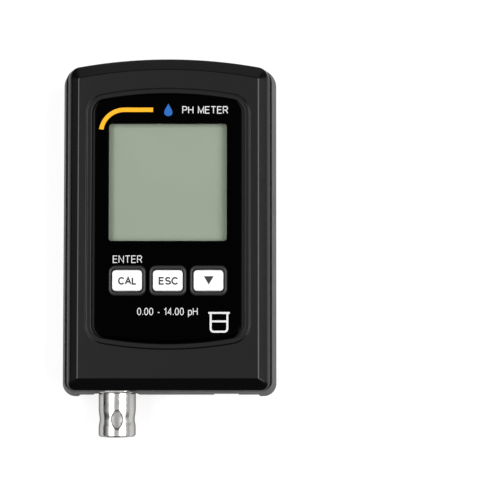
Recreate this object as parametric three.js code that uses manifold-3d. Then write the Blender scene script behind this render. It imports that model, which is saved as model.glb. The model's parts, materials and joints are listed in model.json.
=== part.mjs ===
// Hand-held pH meter with a bayonet probe connector on its bottom end.
// Millimetres. x runs to the right across the face, y towards the top end, z out of the display.
// Everything is laid out about the middle of the flat face; the last lines move the origin to the
// centre of the whole object's footprint, on the plane that the back rests on.
import * as THREE from 'three';
import { mergeVertices } from 'three/addons/utils/BufferGeometryUtils.js';
import Module from 'manifold-3d';

const wasm = await Module();
wasm.setup();

// ---------------------------------------------------------------- driving dimensions

// Levels above the back
const SEAM_Z = 13;            // the two dark grey shells meet here, where the case is widest
const PARTING_Z = 21.6;       // underside of the black front bezel
const FACE_Z = 26;            // flat front face
const BEAD_Z = 26.45;         // crest of the raised bead around the panel
const PANEL_SEAT_Z = 24.6;    // floor of the recess that takes the front panel
const BEZEL_UNDER_Z = 23;     // underside of the bezel's thin middle
const PCB_TOP_Z = 18.9;
const PCB_THICKNESS = 1.6;
const PCB_UNDER_Z = PCB_TOP_Z - PCB_THICKNESS;
const HAIRLINE = 0.2;         // parting gaps between mouldings
const SEAM_CHAMFER = 0.35;
const CLEARANCE = 0.3;        // gap around pieces that pass through one another

// Outlines: half width, apex of the top end, level of the bottom end, corner radii, end arc radii
const SEAM_OUTLINE = {
  half: 41.9, top: 65.5, bottom: -66.7, topCorner: 6.6, bottomCorner: 5, topRadius: 204,
};
const BEZEL_OUTLINE = {
  half: 39.85, top: 64.8, bottom: -64.3, topCorner: 5.6, bottomCorner: 3.6, topRadius: 202,
};
const FLAT_OUTLINE = {
  half: 34.65, top: 60.3, bottom: -59.2, topCorner: 0.5, bottomCorner: 0.4, topRadius: 180,
};
// Side of the bezel, from its lower edge (0) to the flat (1): a steep edge rolls over to a plane
const BEVEL = [
  [0, PARTING_Z], [0.058, 22.6], [0.1, 23.05], [0.19, 23.45], [0.385, 24.08], [1, FACE_Z],
];
const LEDGE = 0.3;               // the upper case stands out this far under the bezel
const BEAD_OUTLINE = {
  half: 31.3, top: 52.7, bottom: -47.8, topCorner: 7.4, bottomCorner: 7.4, topRadius: 144, bottomRadius: 144,
};
const BEAD_WIDTH = 1.55;
const PANEL_OUTLINE = {
  ...BEAD_OUTLINE, half: 28.35, top: 50.8, bottom: -45.8, topCorner: 5.4, bottomCorner: 5.4,
};
const PANEL_FACE = {
  ...PANEL_OUTLINE, half: 27.95, top: 50.4, bottom: -44.4, topCorner: 5, bottomCorner: 5,
};
const PANEL_EDGE_Z = 25.6;    // where the panel's chamfer starts
const BEZEL_POCKET = { half: 36.4, y0: -59.6, y1: 58.4 };    // shallow pocket under the bezel

const BACK_INSET = 4.2;       // how far the back face lies inside the seam outline
const BACK_ROUND = 2.6;       // rounding between the back and the sides
const WALL = 2.2;
const BACK_WALL = 2.4;
const END_RECESS = { half: 35, depth: 0.8, slope: 1.6 };   // shallow flat between the bottom corners
const END_PAD = { outer: -64, inner: -61.6, connectorHalf: 9, socketMargin: 2 };  // thickens the end wall
const BOSS_RADIUS = 3.4;

// Display
const WINDOW = { x0: -22.9, x1: 22.6, y0: -6.3, y1: 39.1, corner: 1, top: 25.75, thickness: 0.9 };
const GLASS = { half: 25, y0: -8.9, y1: 41.7, top: 24.5, bottom: 22.8 };
const LCD_FRAME = { half: 28, y0: -12.4, y1: 45.2, top: 22.7, bottom: 19.1 };
const VIEW_HALF = 22.6;       // half width of the backlit field
const VIEW = { y0: -5.4, y1: 38.2 };
const LIGHT_GUIDE_Z = 20.3;   // underside of the light guide
const ZEBRA = { half: 22.5, depth: 1.8, offset: 1.9 };

// Keys
const KEY_NAMES = ['cal', 'esc', 'down'];
const KEY_PITCH = 15.65;
const KEY_ROW_Y = -21.45;
const KEY = { width: 11.8, height: 8.3, corner: 1, gap: 0.25, top: 26.9, crownInset: 0.35 };
const KEY_FLANGE = { margin: 1.1, top: 22.85, thickness: 0.95 };
const COLLAR = { width: 14.2, height: 11.2, corner: 1.7, top: 26.4 };
const MAT = { half: 23.2, y0: -27.6, y1: -15.3, bottom: 19, top: 19.9 };
const DOME = { base: 3.9, crown: 2.5, top: 21.8, wall: 0.6 };
const PILL = { radius: 1.5, bottom: 19.85, top: 21 };

// Power: four AAA cells lie side by side behind the display
const CELL = { radius: 5.2, length: 43.2, pitch: 11, y: 30, z: 9, nub: 1.9, nubLength: 1.1 };
const BAY = { half: 22.6, y0: 5, y1: 55 };                 // clear opening for the cells
const BAY_RIM = { margin: 1.6, top: 11 };                  // wall that stands round the bay
const DOOR = { half: 24, tongue: 1.4, y0: 3, skin: 1.1, lipTop: 2.1, railTop: 3.4 };
const DOOR_RAIL = { side: 3, below: 2, above: 5, bottom: 1.5 };   // pad that the cover's rails are cut in
const GRIP = { half: 7, y: 53, pitch: 2.4, width: 1, depth: 0.5, count: 3 };
const CONTACT = { thickness: 0.5, half: 4, bottom: 4.6, top: 13.2, tip: 1.2, root: 2, dimple: 1, wall: 0.3 };

// Probe connector: axis along y through the seam plane
const CONNECTOR_X = -20.5;
const FLANGE = { radius: 9.2, front: -65.1, back: -64 };
const SHANK = { radius: 4.8, bore: 2.2, end: -52 };
const SLEEVE = { radius: 4.1, bore: 3.5, front: -81.4, boreEnd: -62 };
const NECK_RADIUS = 4.65;
const SHOULDER = { radius: 5.6, front: -71.3, back: -70.3 };   // the wave washer rests on its back
const RING = { radius: 7.25, waist: 6.75, rear: -65.4, front: -82.7, bore: 6, lip: 4.95, lipThickness: 2.8 };
const WAIST = { rear: -73.1, front: -78, step: 0.15 };
const RING_WINDOW = { y: -75.35, width: 4.8, length: 8.3, turn: 5 };
const WASHER = { inner: 4.85, outer: 5.7, thickness: 0.45 };
const INSULATOR = { bore: 0.95, radius: 3.3, front: -75, back: -62.2 };
const PIN = { radius: 0.65, tip: 0.25, front: -80.4, shoulder: -79.2, back: -50.5 };
const GASKET = { radius: 7, front: -61.5, back: -60.7 };
const NUT = { radius: 6.9, front: -60.6, back: -58.2 };
const THREAD_GAP = 0.15;

// Power socket beside the connector
const SOCKET = { x0: 17.9, x1: 26.9, bottom: 9.6, top: 17.1, back: -54, wall: 0.8 };
const SOCKET_TONGUE = { inset: 2, bottom: 15, top: 15.7 };

// Fasteners
const CASE_SCREWS = { x: 34.6, tail: -56.4, head: 55.4 };
const CASE_SCREW = { headRadius: 2.4, headHeight: 1.8, headZ: 4.2, radius: 1.3, tip: 20 };
const PCB_SCREWS = { x: 30.6, y0: -46.5, y1: 48.6 };
const PCB_SCREW = { headRadius: 2.1, headHeight: 1.5, radius: 1, tip: 22.2 };

// ---------------------------------------------------------------- materials

const FINISHES = {
  black_plastic: [0x2b2b2b, 0.45, 0],
  grey_plastic: [0x343333, 0.5, 0],
  panel_black: [0x050505, 0.15, 0],
  clear_window: [0xdfe6dc, 0.05, 0],
  lcd_grey: [0xa0ac99, 0.35, 0],
  white_plastic: [0xf6f6f4, 0.5, 0],
  chrome: [0xd8d8d8, 0.12, 1],
  plated_metal: [0xc9c4b8, 0.25, 1],
  gold_contact: [0xd7b45a, 0.25, 1],
  white_insulator: [0xf0efe9, 0.5, 0],
  rubber_grey: [0x8d8f92, 0.8, 0],
  carbon_black: [0x1a1a1a, 0.9, 0],
  circuit_green: [0x1d5a3a, 0.5, 0],
  chip_black: [0x1c1c1e, 0.6, 0],
  steel: [0xa9abad, 0.35, 1],
  cell_wrap: [0x2f4c6b, 0.4, 0],
};
const materials = Object.fromEntries(Object.entries(FINISHES).map(([slot, [color, roughness, metalness]]) => [
  slot, new THREE.MeshStandardMaterial({ color, roughness, metalness }),
]));

const meter = new THREE.Group();

function add(name, slot, geometry) {
  const mesh = new THREE.Mesh(geometry, materials[slot]);
  mesh.name = name;
  meter.add(mesh);
}

// ---------------------------------------------------------------- joins and cuts

function toSolid(geometry) {
  const bare = geometry.clone();
  bare.deleteAttribute('normal');
  bare.deleteAttribute('uv');
  const merged = mergeVertices(bare, 1e-4);
  return new wasm.Manifold(new wasm.Mesh({
    numProp: 3,
    vertProperties: Float32Array.from(merged.attributes.position.array),
    triVerts: Uint32Array.from(merged.index.array),
  }));
}

function combine(operation, first, others) {
  const solid = others.reduce((whole, other) => whole[operation](toSolid(other)), toSolid(first));
  const { vertProperties, triVerts } = solid.getMesh();
  const geometry = new THREE.BufferGeometry();
  geometry.setAttribute('position', new THREE.BufferAttribute(vertProperties, 3));
  geometry.setIndex(new THREE.BufferAttribute(triVerts, 1));
  return geometry;
}

const cut = (first, ...others) => combine('subtract', first, others);
const join = (first, ...others) => combine('add', first, others);

// ---------------------------------------------------------------- basic shapes

function box(x0, x1, y0, y1, z0, z1) {
  const geometry = new THREE.BoxGeometry(x1 - x0, y1 - y0, z1 - z0);
  return geometry.translate((x0 + x1) / 2, (y0 + y1) / 2, (z0 + z1) / 2);
}

function post(x, y, z0, z1, radius, sides = 16, topRadius = radius) {
  const geometry = new THREE.CylinderGeometry(topRadius, radius, z1 - z0, sides);
  return geometry.rotateX(Math.PI / 2).translate(x, y, (z0 + z1) / 2);
}

function prism(shape, z0, z1, curveSegments = 6) {
  const settings = { depth: z1 - z0, bevelEnabled: false, curveSegments };
  return new THREE.ExtrudeGeometry(shape, settings).translate(0, 0, z0);
}

function roundedBox(x0, x1, y0, y1, corner) {
  const shape = new THREE.Shape();
  shape.absarc(x1 - corner, y1 - corner, corner, 0, Math.PI / 2);
  shape.absarc(x0 + corner, y1 - corner, corner, Math.PI / 2, Math.PI);
  shape.absarc(x0 + corner, y0 + corner, corner, Math.PI, 1.5 * Math.PI);
  shape.absarc(x1 - corner, y0 + corner, corner, 1.5 * Math.PI, 2 * Math.PI);
  return shape;
}

// A solid of revolution about the connector's axis; the profile is [radius, y] pairs, in order
// around the section with the material on the left.
function turned(profile, sides = 32) {
  const closed = profile[0][0] === 0 ? profile : [...profile, profile[0]];
  const geometry = new THREE.LatheGeometry(closed.map(([r, y]) => new THREE.Vector2(r, y)), sides);
  return geometry.translate(CONNECTOR_X, 0, SEAM_Z);
}

const washer = (inner, outer, y0, y1, sides) => (
  turned([[inner, y0], [outer, y0], [outer, y1], [inner, y1]], sides)
);

const turnedRod = (radius, y0, y1, sides) => turned([[0, y0], [radius, y0], [radius, y1], [0, y1]], sides);

// ---------------------------------------------------------------- case outlines and lofts

// Levels that clear the whole front, for cuts that go right through it
const THROUGH_Z0 = PCB_TOP_Z;
const THROUGH_Z1 = KEY.top + 1;

const CORNER_STEPS = 5;
const END_STEPS = 10;
const STRAIGHT = 1e5;         // arc radius that stands for a straight end

function arcPoints(cx, cy, radius, from, to, steps) {
  return Array.from({ length: steps + 1 }, (_, i) => {
    const angle = from + ((to - from) * i) / steps;
    return new THREE.Vector2(cx + radius * Math.cos(angle), cy + radius * Math.sin(angle));
  });
}

// Right half of one end: the corner arc, then the end arc as far as the centre line.
function endPoints(half, apex, corner, radius) {
  const centreY = apex - radius;
  const cornerY = centreY + Math.sqrt((radius - corner) ** 2 - (half - corner) ** 2);
  const meet = Math.atan2(cornerY - centreY, half - corner);
  const points = arcPoints(half - corner, cornerY, corner, 0, meet, CORNER_STEPS);
  const steps = radius < STRAIGHT / 2 ? END_STEPS : 1;
  return [...points, ...arcPoints(0, centreY, radius, meet, Math.PI / 2, steps).slice(1)];
}

// Closed anticlockwise outline; inset moves it inwards everywhere.
function outline(o, inset = 0) {
  const half = o.half - inset;
  const corner = (r) => Math.max(r - inset, 0.2);
  const top = endPoints(half, o.top - inset, corner(o.topCorner), (o.topRadius ?? STRAIGHT) - inset);
  const bottomRadius = (o.bottomRadius ?? STRAIGHT) - inset;
  const bottom = endPoints(half, -(o.bottom + inset), corner(o.bottomCorner), bottomRadius)
    .map((p) => new THREE.Vector2(p.x, -p.y));
  const mirror = (p) => new THREE.Vector2(-p.x, p.y);
  return [
    ...top,
    ...top.slice(0, -1).reverse().map(mirror),
    ...bottom.map(mirror),
    ...bottom.slice(0, -1).reverse(),
  ];
}

// Outline between two others; t is 0 at the first and 1 at the second.
function between(a, b, t) {
  const keys = ['half', 'top', 'bottom', 'topCorner', 'bottomCorner', 'topRadius', 'bottomRadius'];
  const blend = (key) => THREE.MathUtils.lerp(a[key] ?? STRAIGHT, b[key] ?? STRAIGHT, t);
  return Object.fromEntries(keys.map((key) => [key, blend(key)]));
}

// Closed solid through sections of equal point count, lowest first.
function loft(sections) {
  const count = sections[0].points.length;
  const positions = sections.flatMap(({ points, z }) => points.flatMap((p) => [p.x, p.y, z]));
  const index = [];
  for (let level = 0; level < sections.length - 1; level += 1) {
    for (let i = 0; i < count; i += 1) {
      const a = level * count + i;
      const b = level * count + ((i + 1) % count);
      index.push(a, b, b + count, a, b + count, a + count);
    }
  }
  const lid = THREE.ShapeUtils.triangulateShape(sections[0].points, []);
  const topStart = (sections.length - 1) * count;
  lid.forEach(([a, b, c]) => index.push(c, b, a));
  lid.forEach(([a, b, c]) => index.push(topStart + a, topStart + b, topStart + c));
  const geometry = new THREE.BufferGeometry();
  geometry.setAttribute('position', new THREE.Float32BufferAttribute(positions, 3));
  geometry.setIndex(index);
  return geometry;
}

const section = (shape, z, inset = 0) => ({ points: outline(shape, inset), z });

// ---------------------------------------------------------------- case shells

function endRecess() {
  const { half, depth, slope } = END_RECESS;
  const floor = SEAM_OUTLINE.bottom + depth;
  const shape = new THREE.Shape([
    new THREE.Vector2(-half, floor),
    new THREE.Vector2(-half - slope, SEAM_OUTLINE.bottom - 1),
    new THREE.Vector2(half + slope, SEAM_OUTLINE.bottom - 1),
    new THREE.Vector2(half, floor),
  ]);
  return prism(shape, -1, PARTING_Z + 1);
}

// Everything that passes through the bottom wall, and the seat for the connector's flange
function endOpenings() {
  return [
    endRecess(),
    turnedRod(FLANGE.radius + CLEARANCE, SEAM_OUTLINE.bottom - 1, FLANGE.back, 24),
    turnedRod(SHANK.radius + CLEARANCE, FLANGE.back - 0.5, END_PAD.inner + 1, 20),
    box(SOCKET.x0 - CLEARANCE, SOCKET.x1 + CLEARANCE, SEAM_OUTLINE.bottom - 1, END_PAD.inner + 1,
      SOCKET.bottom - CLEARANCE, SOCKET.top + CLEARANCE),
  ];
}

function endPads(z0, z1) {
  const { outer, inner, connectorHalf, socketMargin } = END_PAD;
  return [
    box(CONNECTOR_X - connectorHalf, CONNECTOR_X + connectorHalf, outer, inner, z0, z1),
    box(SOCKET.x0 - socketMargin, SOCKET.x1 + socketMargin, outer, inner, z0, z1),
  ];
}

const screwPlaces = (x, ys) => [-1, 1].flatMap((side) => ys.map((y) => [side * x, y]));
const CASE_SCREW_PLACES = screwPlaces(CASE_SCREWS.x, [CASE_SCREWS.tail, CASE_SCREWS.head]);
const PCB_SCREW_PLACES = screwPlaces(PCB_SCREWS.x, [PCB_SCREWS.y0, PCB_SCREWS.y1]);

function upperCase() {
  const base = SEAM_Z + HAIRLINE / 2;
  const top = PARTING_Z - HAIRLINE;
  const outer = loft([
    section(SEAM_OUTLINE, base, SEAM_CHAMFER),
    section(between(SEAM_OUTLINE, BEZEL_OUTLINE, 0.05), base + 0.45),
    section(between(SEAM_OUTLINE, BEZEL_OUTLINE, 0.5), (base + top) / 2, -LEDGE / 2),
    section(BEZEL_OUTLINE, top, -LEDGE),
  ]);
  const hollow = loft([section(SEAM_OUTLINE, base - 1, WALL), section(BEZEL_OUTLINE, top + 1, WALL)]);
  const shell = cut(outer, hollow);
  const bosses = CASE_SCREW_PLACES.map(([x, y]) => post(x, y, base, top, BOSS_RADIUS));
  const holes = CASE_SCREW_PLACES.map(([x, y]) => (
    post(x, y, base - 1, CASE_SCREW.tip + CLEARANCE, CASE_SCREW.radius + CLEARANCE, 12)
  ));
  return cut(join(shell, ...bosses, ...endPads(base, top)), ...holes, ...endOpenings());
}

// The back shell's outside: rounded up from the back face, then drafted out to the seam
function backSections() {
  const steps = 4;
  const rounded = Array.from({ length: steps + 1 }, (_, i) => {
    const angle = (Math.PI / 2) * (i / steps);
    return [BACK_INSET - BACK_ROUND * Math.sin(angle), BACK_ROUND * (1 - Math.cos(angle))];
  });
  const seam = SEAM_Z - HAIRLINE / 2;
  const profile = [...rounded, [0, seam - 0.5], [SEAM_CHAMFER, seam]];
  return profile.map(([inset, z]) => section(SEAM_OUTLINE, z, inset));
}

const DOOR_TOP = SEAM_OUTLINE.top + 2;   // cutters for the door run out past the top end

// T-shaped slot, open at the top end, that the battery cover slides in
function doorSlot() {
  const { half, tongue, y0, skin, lipTop } = DOOR;
  return [
    box(-half - 0.25, half + 0.25, y0 - 0.25, DOOR_TOP, -1, skin),
    box(-half - tongue - 0.25, half + tongue + 0.25, y0 - 0.25, DOOR_TOP, skin - 0.15, lipTop + 0.2),
  ];
}

function lowerCase() {
  const seam = SEAM_Z - HAIRLINE / 2;
  const { half, y0, y1 } = BAY;
  const { side, below, above, bottom } = DOOR_RAIL;
  const rim = BAY_RIM.margin;
  const outer = loft(backSections());
  const hollow = loft([
    section(SEAM_OUTLINE, BACK_WALL, BACK_INSET + 0.6),
    section(SEAM_OUTLINE, SEAM_Z + 1, WALL),
  ]);
  const shell = cut(outer, hollow);
  const bosses = CASE_SCREW_PLACES.map(([x, y]) => post(x, y, 1, seam, BOSS_RADIUS));
  const pads = [
    ...endPads(BACK_WALL - 0.4, seam),
    box(-DOOR.half - side, DOOR.half + side, DOOR.y0 - below, y1 + above, bottom, DOOR.railTop),
    box(-half - rim, half + rim, y0 - rim, y1 + rim, bottom, BAY_RIM.top),
  ];
  const bay = box(-half, half, y0, y1, -1, SEAM_Z);
  const screwHoles = CASE_SCREW_PLACES.flatMap(([x, y]) => [
    post(x, y, -1, CASE_SCREW.headZ, CASE_SCREW.headRadius + CLEARANCE, 16),
    post(x, y, 0, SEAM_Z + 1, CASE_SCREW.radius + CLEARANCE, 12),
  ]);
  return cut(join(shell, ...bosses, ...pads), bay, ...doorSlot(), ...screwHoles, ...endOpenings());
}

function batteryCover() {
  const { half, tongue, y0, skin, lipTop } = DOOR;
  const body = join(
    box(-half, half, y0, DOOR_TOP, 0, lipTop),
    box(-half - tongue, half + tongue, y0, DOOR_TOP, skin, lipTop),
  );
  // its end follows the case's outline, and its thumb grip is a row of shallow grooves
  const caseOutside = loft(backSections());
  const grooves = Array.from({ length: GRIP.count }, (_, i) => {
    const start = GRIP.y + GRIP.pitch * i;
    return box(-GRIP.half, GRIP.half, start, start + GRIP.width, -1, GRIP.depth);
  });
  return cut(combine('intersect', body, [caseOutside]), ...grooves);
}

function frontBezel() {
  const body = loft(BEVEL.map(([t, z]) => section(between(BEZEL_OUTLINE, FLAT_OUTLINE, t), z)));
  const bead = loft([
    section(BEAD_OUTLINE, FACE_Z - 0.5),
    section(BEAD_OUTLINE, FACE_Z),
    section(BEAD_OUTLINE, BEAD_Z, 0.45),
  ]);
  const recess = loft([
    section(BEAD_OUTLINE, PANEL_SEAT_Z, BEAD_WIDTH),
    section(BEAD_OUTLINE, FACE_Z, BEAD_WIDTH),
    section(BEAD_OUTLINE, BEAD_Z + 0.1, BEAD_WIDTH - 0.5),
  ]);
  const { half, y0, y1 } = BEZEL_POCKET;
  const under = box(-half, half, y0, y1, PARTING_Z - 1, BEZEL_UNDER_Z);
  const lcdOpening = box(-GLASS.half - CLEARANCE, GLASS.half + CLEARANCE, GLASS.y0 - CLEARANCE,
    GLASS.y1 + CLEARANCE, PARTING_Z - 1, PANEL_SEAT_Z + 0.2);
  const collars = keyPlaces().map(([, x]) => keyPrism(x, COLLAR, PANEL_SEAT_Z - 0.5, COLLAR.top));
  const keyHole = { ...KEY, width: KEY.width + 2 * KEY.gap, height: KEY.height + 2 * KEY.gap };
  const keyOpenings = keyPlaces().map(([, x]) => keyPrism(x, keyHole, THROUGH_Z0, THROUGH_Z1));
  const posts = PCB_SCREW_PLACES.map(([x, y]) => post(x, y, PCB_TOP_Z + 0.1, BEZEL_UNDER_Z + 0.5, 2.5, 12));
  const pilotHoles = PCB_SCREW_PLACES.map(([x, y]) => (
    post(x, y, PCB_TOP_Z - 1, PCB_SCREW.tip + 0.3, PCB_SCREW.radius + CLEARANCE, 10)
  ));
  const shell = join(cut(join(body, bead), recess, under, lcdOpening), ...collars, ...posts);
  const flangeSeat = turnedRod(FLANGE.radius + CLEARANCE, SEAM_OUTLINE.bottom - 1, FLANGE.back, 24);
  return cut(shell, ...keyOpenings, ...pilotHoles, flangeSeat);
}

// ---------------------------------------------------------------- keys

const keyPlaces = () => KEY_NAMES.map((name, i) => [name, (i - 1) * KEY_PITCH]);

function keyPrism(x, { width, height, corner }, z0, z1) {
  const [w, h] = [width / 2, height / 2];
  return prism(roundedBox(x - w, x + w, KEY_ROW_Y - h, KEY_ROW_Y + h, corner), z0, z1, 3);
}

function keyCap(x) {
  const { width, height, top, crownInset } = KEY;
  const { margin, top: flangeTop, thickness } = KEY_FLANGE;
  const crown = { width: width - 2 * crownInset, height: height - 2 * crownInset, corner: 0.8 };
  const flange = { width: width + 2 * margin, height: height + 2 * margin, corner: 1 };
  return join(
    keyPrism(x, KEY, flangeTop - 0.2, top - crownInset),
    keyPrism(x, crown, top - crownInset - 0.1, top),
    keyPrism(x, flange, flangeTop - thickness, flangeTop),
  );
}

function rubberDome(x) {
  const { base, crown, top, wall } = DOME;
  const outside = post(x, KEY_ROW_Y, MAT.top + 0.1, top, base, 14, crown);
  const inside = post(x, KEY_ROW_Y, MAT.top - 0.1, top - wall, base - wall, 14, crown - wall);
  return cut(outside, inside);
}

function buildKeys() {
  keyPlaces().forEach(([name, x]) => {
    add(`key_${name}`, 'white_plastic', keyCap(x));
    add(`contact_pill_${name}`, 'carbon_black', post(x, KEY_ROW_Y, PILL.bottom, PILL.top, PILL.radius, 10));
    add(`key_dome_${name}`, 'rubber_grey', rubberDome(x));
  });
  const mat = box(-MAT.half, MAT.half, MAT.y0, MAT.y1, MAT.bottom, MAT.top);
  const openings = keyPlaces().map(([, x]) => (
    post(x, KEY_ROW_Y, MAT.bottom - 1, MAT.top + 1, DOME.base - DOME.wall, 14)
  ));
  add('keypad_mat', 'rubber_grey', cut(mat, ...openings));
}

// ---------------------------------------------------------------- panel and display

function frontPanel() {
  const plate = loft([
    section(PANEL_OUTLINE, PANEL_SEAT_Z + 0.05),
    section(PANEL_OUTLINE, PANEL_EDGE_Z),
    section(PANEL_FACE, FACE_Z),
  ]);
  const { x0, x1, y0, y1, corner } = WINDOW;
  const window = prism(roundedBox(x0, x1, y0, y1, corner), THROUGH_Z0, THROUGH_Z1, 3);
  const collars = keyPlaces().map(([, x]) => (
    keyPrism(x, { ...COLLAR, width: COLLAR.width + CLEARANCE, height: COLLAR.height + CLEARANCE },
      THROUGH_Z0, THROUGH_Z1)
  ));
  return cut(plate, window, ...collars);
}

function buildDisplay() {
  const { x0, x1, y0, y1, corner, top, thickness } = WINDOW;
  const gap = 0.1;
  const pane = roundedBox(x0 + gap, x1 - gap, y0 + gap, y1 - gap, corner);
  add('lcd_window', 'clear_window', prism(pane, top - thickness, top, 3));
  add('lcd_glass', 'lcd_grey', box(-GLASS.half, GLASS.half, GLASS.y0, GLASS.y1, GLASS.bottom, GLASS.top));

  const zebraYs = { top: GLASS.y1 - ZEBRA.offset, bottom: GLASS.y0 + ZEBRA.offset };
  const slots = Object.values(zebraYs).map((y) => (
    box(-ZEBRA.half - CLEARANCE, ZEBRA.half + CLEARANCE, y - ZEBRA.depth / 2 - 0.2, y + ZEBRA.depth / 2 + 0.2,
      THROUGH_Z0, THROUGH_Z1)
  ));
  const { half, y0: frame0, y1: frame1, bottom, top: frameTop } = LCD_FRAME;
  const view = box(-VIEW_HALF - CLEARANCE, VIEW_HALF + CLEARANCE, VIEW.y0 - CLEARANCE, VIEW.y1 + CLEARANCE,
    THROUGH_Z0, THROUGH_Z1);
  add('lcd_holder', 'white_plastic', cut(box(-half, half, frame0, frame1, bottom, frameTop), view, ...slots));
  add('lcd_backlight', 'white_insulator',
    box(-VIEW_HALF, VIEW_HALF, VIEW.y0, VIEW.y1, LIGHT_GUIDE_Z, frameTop));
  Object.entries(zebraYs).forEach(([end, y]) => {
    const [near, far] = [y - ZEBRA.depth / 2, y + ZEBRA.depth / 2];
    add(`zebra_strip_${end}`, 'rubber_grey',
      box(-ZEBRA.half, ZEBRA.half, near, far, PCB_TOP_Z + 0.1, GLASS.bottom));
  });
}

// ---------------------------------------------------------------- circuit board

const PCB = { half: 33.6, y0: -51, y1: 51.6 };
const UNDER = PCB_UNDER_Z - 0.1;          // top of the parts soldered below the board
const CHIPS = {
  processor_chip: { x: 14, y: -4, width: 12, depth: 12, height: 1.5 },
  converter_chip: { x: -6, y: -12, width: 10, depth: 7, height: 1.8 },
  amplifier_chip: { x: -10, y: -30, width: 5, depth: 6, height: 1.6 },
};
const SHIELD = { x0: -27.5, x1: -13.5, y0: -46.5, y1: -34.5, height: 3.6, sheet: 0.4 };
const CRYSTAL = { x0: 2, x1: 13, y0: -17.5, y1: -13, corner: 2.2, height: 3.4 };
const BUZZER = { x: 10, y: -34, radius: 6, height: 4.6, port: 1, portDepth: 1 };
const CAPACITOR = { x: 27, y: -30, radius: 3.1, height: 7 };

// Thin sheet-metal can, open towards the board
function inputShield() {
  const { x0, x1, y0, y1, height, sheet } = SHIELD;
  const inside = box(x0 + sheet, x1 - sheet, y0 + sheet, y1 - sheet, UNDER - height + sheet, UNDER + 1);
  return cut(box(x0, x1, y0, y1, UNDER - height, UNDER), inside);
}

function buzzer() {
  const { x, y, radius, height, port, portDepth } = BUZZER;
  const floor = UNDER - height;
  return cut(post(x, y, floor, UNDER, radius, 20), post(x, y, floor - 1, floor + portDepth, port, 8));
}

function buildBoard() {
  const holes = PCB_SCREW_PLACES.map(([x, y]) => post(x, y, 10, 25, PCB_SCREW.radius + 0.5, 12));
  const board = box(-PCB.half, PCB.half, PCB.y0, PCB.y1, PCB_UNDER_Z, PCB_TOP_Z);
  add('main_board', 'circuit_green', cut(board, ...holes));
  Object.entries(CHIPS).forEach(([name, { x, y, width, depth, height }]) => {
    const [w, d] = [width / 2, depth / 2];
    add(name, 'chip_black', box(x - w, x + w, y - d, y + d, UNDER - height, UNDER));
  });
  add('input_shield', 'steel', inputShield());
  const { x0, x1, y0, y1, corner, height } = CRYSTAL;
  add('clock_crystal', 'steel', prism(roundedBox(x0, x1, y0, y1, corner), UNDER - height, UNDER, 4));
  add('buzzer', 'chip_black', buzzer());
  add('reservoir_capacitor', 'chip_black',
    post(CAPACITOR.x, CAPACITOR.y, UNDER - CAPACITOR.height, UNDER, CAPACITOR.radius, 16));
  PCB_SCREW_PLACES.forEach(([x, y], i) => {
    const { headRadius, headHeight, radius, tip } = PCB_SCREW;
    const head = post(x, y, UNDER - headHeight, UNDER, headRadius, 12);
    add(`board_screw_${i + 1}`, 'steel', join(head, post(x, y, UNDER - 0.5, tip, radius, 8)));
  });
}

// ---------------------------------------------------------------- power

function powerSocket() {
  const { x0, x1, bottom, top, back, wall } = SOCKET;
  const front = SEAM_OUTLINE.bottom + END_RECESS.depth + 0.5;
  const shell = box(x0, x1, front, back, bottom, top);
  const mouth = box(x0 + wall, x1 - wall, front - 1, back - 3, bottom + wall, top - wall);
  const { inset, bottom: under, top: over } = SOCKET_TONGUE;
  const tongue = box(x0 + inset, x1 - inset, front + 0.8, back - 2, under, over);
  return join(cut(shell, mouth), tongue);
}

function cell(x, direction) {
  const { radius, length, y, z, nub, nubLength } = CELL;
  const half = length / 2;
  const tip = half + nubLength;
  const profile = [[0, -half], [radius, -half], [radius, half], [nub, half], [nub, tip], [0, tip]];
  const geometry = new THREE.LatheGeometry(profile.map(([r, v]) => new THREE.Vector2(r, v)), 16);
  if (direction < 0) geometry.rotateZ(Math.PI);
  return geometry.translate(x, y - (direction * nubLength) / 2, z);
}

// Contact plates stand against the bay's end walls; alternate cells point opposite ways, so each
// plate except the first and the last joins two neighbours.
function buildCells() {
  const places = [0, 1, 2, 3].map((i) => (i - 1.5) * CELL.pitch);
  places.forEach((x, i) => add(`cell_${i + 1}`, 'cell_wrap', cell(x, i % 2 ? -1 : 1)));
  const { thickness, half, bottom, top, tip, root, dimple, wall } = CONTACT;
  const plate = (name, first, last, end) => {
    const y = end > 0 ? BAY.y1 - wall - thickness : BAY.y0 + wall;
    const leaf = box(places[first] - half, places[last] + half, y, y + thickness, bottom, top);
    // a pressed dimple reaches out to each cell
    const reach = end > 0 ? -1 : 1;
    const dimples = [...new Set([first, last])].map((i) => {
      const bump = new THREE.CylinderGeometry(tip, root, dimple, 10);
      if (reach < 0) bump.rotateX(Math.PI);
      return bump.translate(places[i], y + thickness / 2 + reach * (dimple / 2 + 0.1), CELL.z);
    });
    add(name, 'plated_metal', join(leaf, ...dimples));
  };
  plate('contact_first', 0, 0, 1);
  plate('contact_bridge_1', 0, 1, -1);
  plate('contact_bridge_2', 1, 2, 1);
  plate('contact_bridge_3', 2, 3, -1);
  plate('contact_last', 3, 3, 1);
}

// ---------------------------------------------------------------- probe connector

function connectorBody() {
  const { radius, front, back } = FLANGE;
  return turned([
    [SLEEVE.bore, SLEEVE.front], [SLEEVE.radius, SLEEVE.front], [SLEEVE.radius, SHOULDER.front],
    [SHOULDER.radius, SHOULDER.front], [SHOULDER.radius, SHOULDER.back], [NECK_RADIUS, SHOULDER.back],
    [NECK_RADIUS, front], [radius - 0.2, front], [radius, front + 0.2], [radius, back],
    [SHANK.radius, back], [SHANK.radius, SHANK.end], [SHANK.bore, SHANK.end],
    [SHANK.bore, SLEEVE.boreEnd], [SLEEVE.bore, SLEEVE.boreEnd],
  ], 28);
}

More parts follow.
